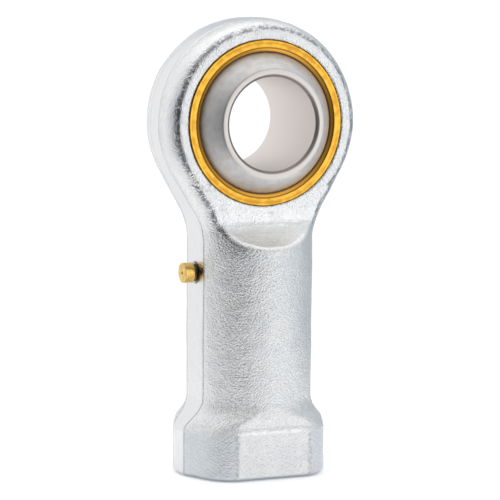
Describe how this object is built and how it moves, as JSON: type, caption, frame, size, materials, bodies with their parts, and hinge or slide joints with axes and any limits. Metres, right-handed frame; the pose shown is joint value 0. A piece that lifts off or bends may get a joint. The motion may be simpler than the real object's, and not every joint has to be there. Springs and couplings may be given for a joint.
{
  "type": "rod end bearing",
  "caption": "Female rod end with a steel ball in a brass race, a forged zinc-plated eye and shank, a wrench collar, a threaded rod hole and a side lubricator.",
  "frame": {"origin": "centre of the ball, on the bore's axis and the shank's axis", "axes": "+Y along the bore; +Z from the shank to the top of the eye; the lubricator is on the -X side"},
  "size_m": [0.0666, 0.041, 0.1474],
  "materials": {
    "zinc_forging": "zinc-plated forging",
    "race_brass": "turned",
    "ball_steel": "ground and polished",
    "lubricator_brass": "turned",
    "check_ball_steel": "polished",
    "spring_steel": "drawn wire"
  },
  "bodies": {
    "housing": {"housing": "zinc_forging", "race": "race_brass", "lubricator_body": "lubricator_brass", "lubricator_spring": "spring_steel"},
    "ball": {"ball": "ball_steel"},
    "check_ball": {"lubricator_ball": "check_ball_steel"}
  },
  "joints": [
    {"name": "ball_tilt", "type": "hinge", "parent": "housing", "child": "ball", "pos_m": [0, 0, 0], "axis": [1, 0, 0], "range_deg": [-17, 17]},
    {"name": "check_ball_travel", "type": "slide", "parent": "housing", "child": "check_ball", "axis": [1, 0, 0], "range_m": [0, 0.0006], "stiffness_N_per_m": 500, "springref_m": -0.0005, "deforming": ["lubricator_spring"]}
  ]
}
